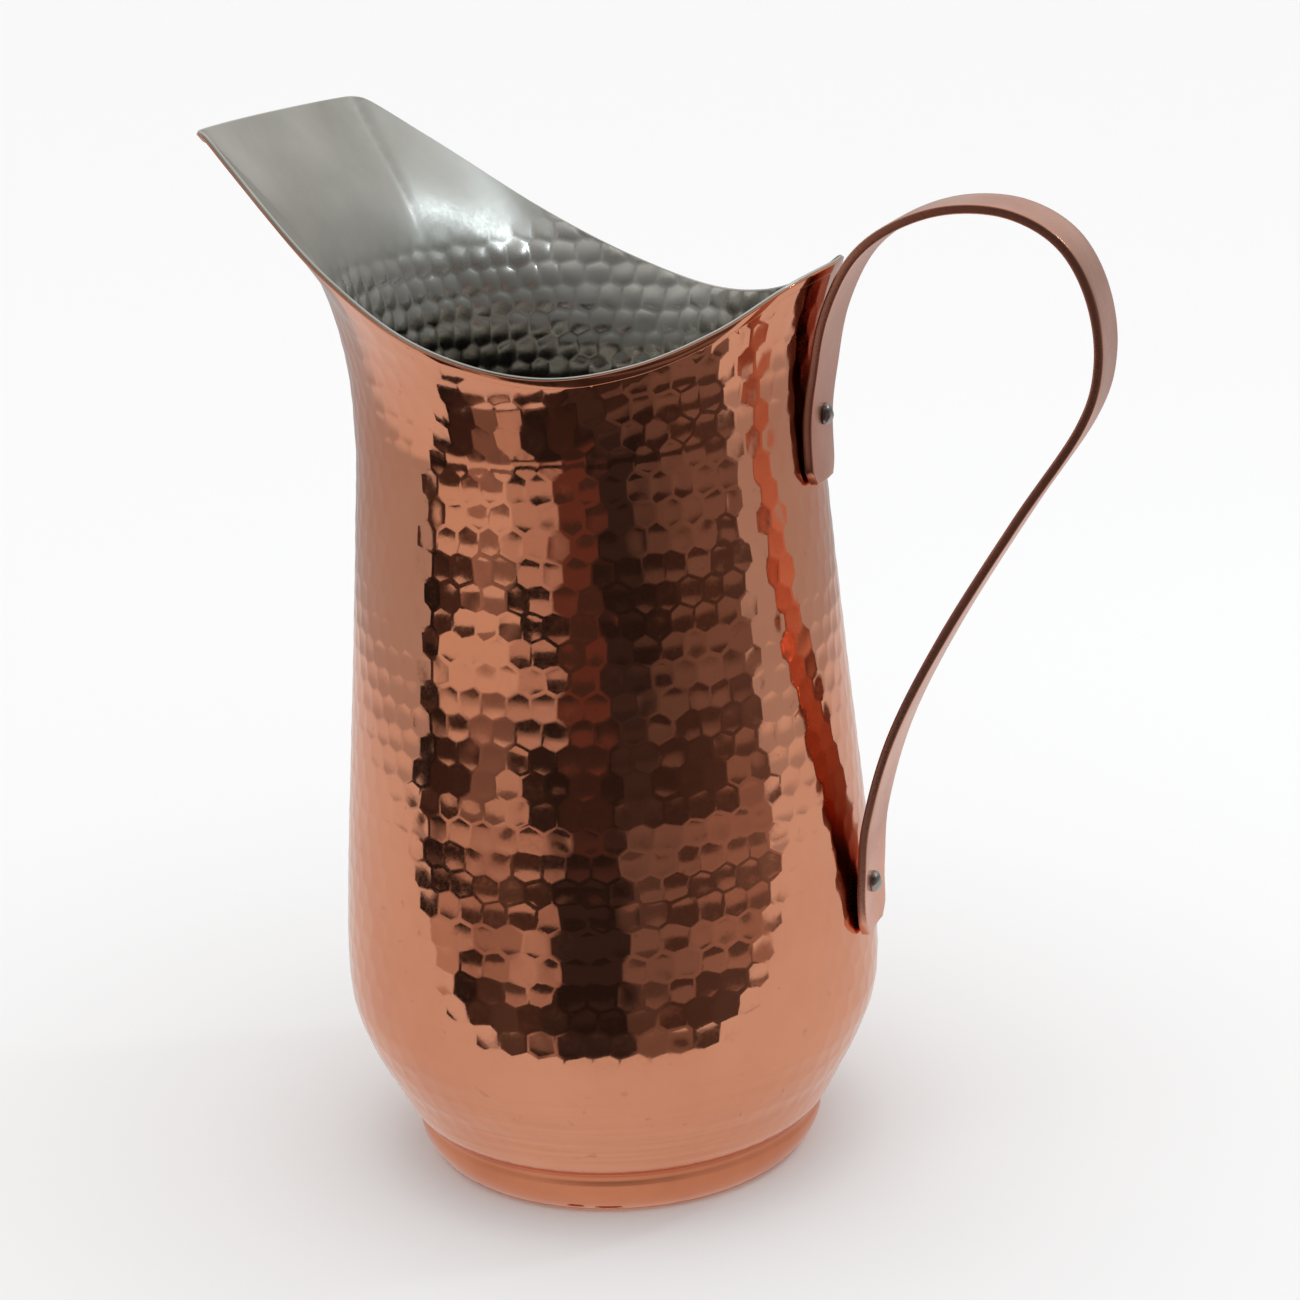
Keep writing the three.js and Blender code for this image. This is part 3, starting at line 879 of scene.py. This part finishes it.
class Nodes:
    """A node tree, with a short way to add and link nodes."""

    def __init__(self, tree):
        self.tree = tree

    def add(self, kind, inputs=None, **settings):
        node = self.tree.nodes.new(kind)
        for key, value in settings.items():
            setattr(node, key, value)
        for key, value in (inputs or {}).items():
            self.put(node.inputs[key], value)
        return node

    def put(self, socket, value):
        if isinstance(value, bpy.types.NodeSocket):
            self.tree.links.new(value, socket)
        else:
            socket.default_value = value

    def spread(self, value, low, high, start=0.3, end=0.7):
        """A value that runs from low to high as another runs from start to end."""
        inputs = {"Value": value, "From Min": start, "From Max": end, "To Min": low, "To Max": high}
        return self.add("ShaderNodeMapRange", inputs).outputs["Result"]

    def blend(self, share, first, second):
        node = self.add("ShaderNodeMix", data_type="RGBA")
        self.put(node.inputs[0], share)
        self.put(node.inputs[6], (*first, 1) if isinstance(first, tuple) else first)
        self.put(node.inputs[7], (*second, 1) if isinstance(second, tuple) else second)
        return node.outputs[2]

    def ramp(self, value, stops):
        """A colour that runs through stops of (value, colour). The first two stops are the ends."""
        node = self.add("ShaderNodeValToRGB", {0: value})
        for k, (place, colour) in enumerate(stops):
            stop = node.color_ramp.elements[k] if k < 2 else node.color_ramp.elements.new(place)
            stop.position = place
            stop.color = (*colour, 1)
        return node.outputs[0]

    def maths(self, operation, *values):
        return self.add("ShaderNodeMath", dict(enumerate(values)), operation=operation).outputs[0]

    def seen_in_metal(self, output, ordinary, mirrored):
        """Joins two shaders at an output: one as it is seen by itself, the other as metal reflects it."""
        sight = self.add("ShaderNodeLightPath").outputs["Is Glossy Ray"]
        both = self.add("ShaderNodeMixShader", {0: sight, 1: ordinary, 2: mirrored})
        self.put(self.tree.nodes[output].inputs["Surface"], both.outputs[0])


class Surface(Nodes):
    """A material's nodes, and the place on the object that its patterns are read at."""

    def __init__(self, name):
        self.material = bpy.data.materials.new(name)
        self.material.use_nodes = True
        super().__init__(self.material.node_tree)
        self.shader = self.tree.nodes["Principled BSDF"]
        self.place = self.add("ShaderNodeTexCoord").outputs["Object"]

    def noise(self, scale, detail, stretch=(1, 1, 1)):
        mapping = self.add("ShaderNodeMapping", {"Vector": self.place, "Scale": stretch})
        inputs = {"Vector": mapping.outputs[0], "Scale": scale, "Detail": detail, "Roughness": 0.55}
        return self.add("ShaderNodeTexNoise", inputs).outputs["Fac"]

    def height(self):
        return self.add("ShaderNodeSeparateXYZ", {0: self.place}).outputs[2]

    def bump(self, height, distance):
        inputs = {"Height": height, "Distance": distance, "Strength": 1.0}
        return self.add("ShaderNodeBump", inputs).outputs["Normal"]


def metal(name, light, dark, smooth, rough, streaks=(1, 1, 1), grain=0.0):
    """A metal whose colour and polish drift over the surface, with a fine grain.

    It is `light` and `smooth` in places, `dark` and `rough` in others. `streaks` draws the grain out.
    """
    n = Surface(name)
    drift = n.noise(28, detail=5)
    fine = n.noise(900, detail=3, stretch=streaks)
    n.colour = n.blend(n.spread(drift, 0, 1), light, dark)
    n.rough = n.maths("ADD", n.spread(drift, smooth, rough), n.spread(fine, -0.02, 0.04))
    n.put(n.shader.inputs["Base Color"], n.colour)
    n.put(n.shader.inputs["Roughness"], n.rough)
    n.shader.inputs["Metallic"].default_value = 1
    n.put(n.shader.inputs["Normal"], n.bump(fine, grain))
    return n


def hammered_copper():
    """Polished copper, duller and drawn into fine level lines where the bottom was spun."""
    n = metal("hammered_copper", (0.80, 0.36, 0.22), (0.74, 0.31, 0.185), 0.05, 0.11, grain=2e-6)
    spun = n.spread(n.height(), 1.0, 0.0, *SPUN_BELOW)
    lines = n.noise(700, detail=2, stretch=(0.03, 0.03, 1))
    specks = n.spread(n.noise(260, detail=2), 0.0, 0.5, 0.68, 0.76)
    dull = n.maths("MULTIPLY", spun, n.spread(lines, 0.0, 0.3))
    tarnish = n.maths("ADD", dull, specks)
    n.put(n.shader.inputs["Base Color"], n.blend(tarnish, n.colour, (0.56, 0.22, 0.13)))
    n.put(n.shader.inputs["Roughness"], n.maths("MULTIPLY_ADD", spun, 0.14, n.rough))
    return n.material


def wiped_tin():
    """Tin wiped on by hand: satin on the spout, and darker deep inside, where the colour is painted shade."""
    n = metal("wiped_tin", (0.64, 0.63, 0.59), (0.50, 0.49, 0.45), 0.14, 0.23, grain=4e-6)
    # Painted shade: the tin's colour turns darker deep inside the jug, below a set height.
    deep = n.spread(n.height(), 1.0, 0.0, *PAINTED_TIN_SHADE_HEIGHTS)
    satin = n.spread(n.height(), 0.0, 0.17, *SATIN_TIN)
    n.put(n.shader.inputs["Base Color"], n.blend(deep, n.colour, (0.38, 0.365, 0.32)))
    n.put(n.shader.inputs["Roughness"], n.maths("ADD", n.rough, satin))
    return n.material


def spun_copper():
    """The foot, spun on a lathe, so that its grain runs round it."""
    streaks = (0.02, 0.02, 1)
    return metal("spun_copper", (0.72, 0.27, 0.145), (0.60, 0.21, 0.11), 0.26, 0.38, streaks, 3e-6).material


def brushed_copper():
    """The strap: copper brushed all ways, paler than the body."""
    return metal("brushed_copper", (0.88, 0.46, 0.34), (0.62, 0.29, 0.205), 0.20, 0.34, grain=6e-6).material


def rivet_steel():
    """The rivets and roves: a dull grey."""
    return metal("rivet_steel", (0.46, 0.45, 0.43), (0.30, 0.29, 0.28), 0.20, 0.34, grain=6e-6).material


# --- Stage, light and camera -------------------------------------------------------------------------------


def stage_floor():
    """Pale paper. In the metal it glows in painted reflection colours: a bright sheet round the jug with a
    duller table beyond.
    """
    mesh = bpy.data.meshes.new("floor")
    reach = 30.0
    corners = [(-reach, -reach, 0), (reach, -reach, 0), (reach, reach, 0), (-reach, reach, 0)]
    mesh.from_pydata(corners, [], [(0, 1, 2, 3)])
    n = Surface("floor_paper")
    n.shader.inputs["Base Color"].default_value = (0.86, 0.86, 0.86, 1)
    n.shader.inputs["Roughness"].default_value = 0.9
    n.shader.inputs["Specular IOR Level"].default_value = 0.1
    # Painted reflection: seen by the metal, the floor glows, brighter near the jug.
    away = n.add("ShaderNodeVectorMath", {0: n.place, 1: (AXIS_X / 1000, 0, 0)}, operation="DISTANCE")
    near = n.spread(away.outputs["Value"], 1.0, 0.0, *SHEET_EDGE)
    glow = n.add("ShaderNodeEmission", {"Color": n.blend(near, TABLE_GLOW, SHEET_GLOW), "Strength": 1.0})
    n.seen_in_metal("Material Output", n.shader.outputs[0], glow.outputs[0])
    mesh.materials.append(n.material)
    add_object("floor", mesh)


def screen_mesh(name, azimuths, radius, height, rise, apron, shelf, steps=64):
    """An upright curved sheet whose map runs from 0 to 1 along it and up it.

    `rise` lifts its ends' lower edge, `apron` is how far that edge runs in over the floor, and `shelf` is how
    far a shelf at SHELF_HEIGHT stands in from it.
    """
    points = []
    for k in range(steps + 1):
        turn = math.radians(azimuths[0] + (azimuths[1] - azimuths[0]) * k / steps)
        foot = 0.0005 + rise * abs(2 * k / steps - 1) ** 3
        section = [(radius - apron, foot), (radius, foot), (radius, SHELF_HEIGHT)]
        section += [(radius - shelf, SHELF_HEIGHT), (radius, SHELF_HEIGHT), (radius, height)]
        for out, z in section:
            points.append((AXIS_X / 1000 + out * math.cos(turn), out * math.sin(turn), z))
    rows = len(section)
    faces = [(k, k + rows, k + rows + 1, k + 1) for k in range(rows * steps) if (k + 1) % rows]
    mesh = bpy.data.meshes.new(name)
    mesh.from_pydata(points, [], faces)
    shares = mesh.uv_layers.new(name="share")
    for loop in mesh.loops:
        k = loop.vertex_index // rows
        shares.data[loop.index].uv = (k / steps, mesh.vertices[loop.vertex_index].co.z / height)
    return mesh


def painted_reflection_screen(name, azimuths, colours, radius, height, rise=0.0, apron=0.0, shelf=0.0):
    """A curved screen that glows only for reflections, in painted reflection colours: it stands in for the
    dark of the room past the table's edge.

    Its colours change along it and up it, and between bright and dim in uneven level stripes.
    """
    mesh = screen_mesh(name, azimuths, radius, height, rise, apron, shelf)
    n = Surface(name)
    n.place = n.add("ShaderNodeUVMap", uv_map="share").outputs[0]
    axes = n.add("ShaderNodeSeparateXYZ", {0: n.place})
    along, up = axes.outputs[0], axes.outputs[1]
    sway = n.noise(1.0, detail=2, stretch=(5, 3, 1))
    stripes = n.maths("MULTIPLY", up, 2 * math.pi * height / STRIPE_STEP)
    turn = n.maths("MULTIPLY_ADD", sway, STRIPE_SWAY, stripes)
    finer = n.maths("SINE", n.maths("MULTIPLY", turn, FINE_STRIPES))
    wave = n.maths("MULTIPLY_ADD", finer, FINE_SHARE, n.maths("SINE", turn))
    wave = n.maths("ADD", wave, n.ramp(up, [(place, (bias,) * 3) for place, bias in STRIPE_BIAS]))
    dimmed = n.spread(wave, 0.0, 1.0, 0.2, 0.5)
    ramps = [n.ramp(along, [(row[0], row[k]) for row in colours]) for k in (1, 2, 3, 4)]
    raised = n.spread(up, 0.0, 1.0, *SCREEN_LOW)
    lit = n.blend(dimmed, n.blend(raised, ramps[2], ramps[0]), n.blend(raised, ramps[3], ramps[1]))
    # Painted reflection: the screen glows in these colours, and only the metal sees it.
    glow = n.add("ShaderNodeEmission", {"Color": lit, "Strength": 1.0})
    n.put(n.tree.nodes["Material Output"].inputs["Surface"], glow.outputs[0])
    mesh.materials.append(n.material)
    screen = add_object(name, mesh)
    for sight in ("visible_camera", "visible_diffuse", "visible_shadow", "visible_transmission"):
        setattr(screen, sight, False)


def add_light(name, kind, place, target, power):
    """A light that points at a target: its object, and its own settings."""
    light = bpy.data.lights.new(name, kind)
    light.energy = power
    lamp = add_object(name, light)
    lamp.location = place
    lamp.rotation_euler = (Vector(target) - Vector(place)).to_track_quat("-Z", "Y").to_euler()
    return lamp, light


def room():
    """Even light from all round. The metal sees a duller room, darker towards the horizon."""
    world = bpy.data.worlds.new("room")
    world.use_nodes = True
    n = Nodes(world.node_tree)
    even = n.tree.nodes["Background"]
    even.inputs["Color"].default_value = (1, 1, 1, 1)
    even.inputs["Strength"].default_value = WORLD_LIGHT
    direction = n.add("ShaderNodeTexCoord").outputs["Generated"]
    up = n.add("ShaderNodeVectorMath", {0: direction, 1: ROOM_UP}, operation="DOT_PRODUCT")
    dull = n.add("ShaderNodeBackground", {"Color": n.ramp(up.outputs["Value"], ROOM_GLOW)})
    n.seen_in_metal("World Output", even.outputs[0], dull.outputs[0])
    bpy.context.scene.world = world


def lights():
    """A broad overhead light, which the metal doesn't see, and the small lamp that glows on the spout."""
    overhead, sun = add_light("overhead", "SUN", (0.3, -0.4, 2.0), (0, 0, 0), OVERHEAD_LIGHT)
    sun.angle = math.radians(60)
    overhead.visible_glossy = False
    _, window = add_light("window", "AREA", WINDOW, SPOUT_MIDDLE, WINDOW_POWER)
    window.shape = "DISK"
    window.size = WINDOW_SIZE
    window.color = WINDOW_COLOUR


def camera():
    """The jug seen from the right of its spout, a little above."""
    data = bpy.data.cameras.new("camera")
    data.lens = CAMERA_LENS
    data.sensor_width = 36
    view = add_object("camera", data)
    view.location = (Vector(CAMERA_PLACE) + Vector((AXIS_X, 0, 0))) / 1000
    view.rotation_euler = Vector(CAMERA_FORWARD).to_track_quat("-Z", "Y").to_euler()
    view.rotation_euler.rotate_axis("Z", math.radians(CAMERA_ROLL))
    bpy.context.scene.camera = view


camera()
stage_floor()
room()
lights()
front = dict(radius=0.2, height=0.3, rise=0.075, apron=0.035, shelf=0.075)
# Painted reflections: screens that glow only for the metal, in front of the jug and behind it.
painted_reflection_screen("painted_reflection_front", FRONT_AZIMUTHS, FRONT_COLOURS, **front)
painted_reflection_screen("painted_reflection_back", BACK_AZIMUTHS, BACK_COLOURS, radius=0.3, height=0.34)
bpy.context.scene.view_settings.view_transform = "Standard"

copper_body(hammered_copper())
tin_lining(wiped_tin())
foot(spun_copper())
strap(brushed_copper())
rivets_and_roves(rivet_steel())
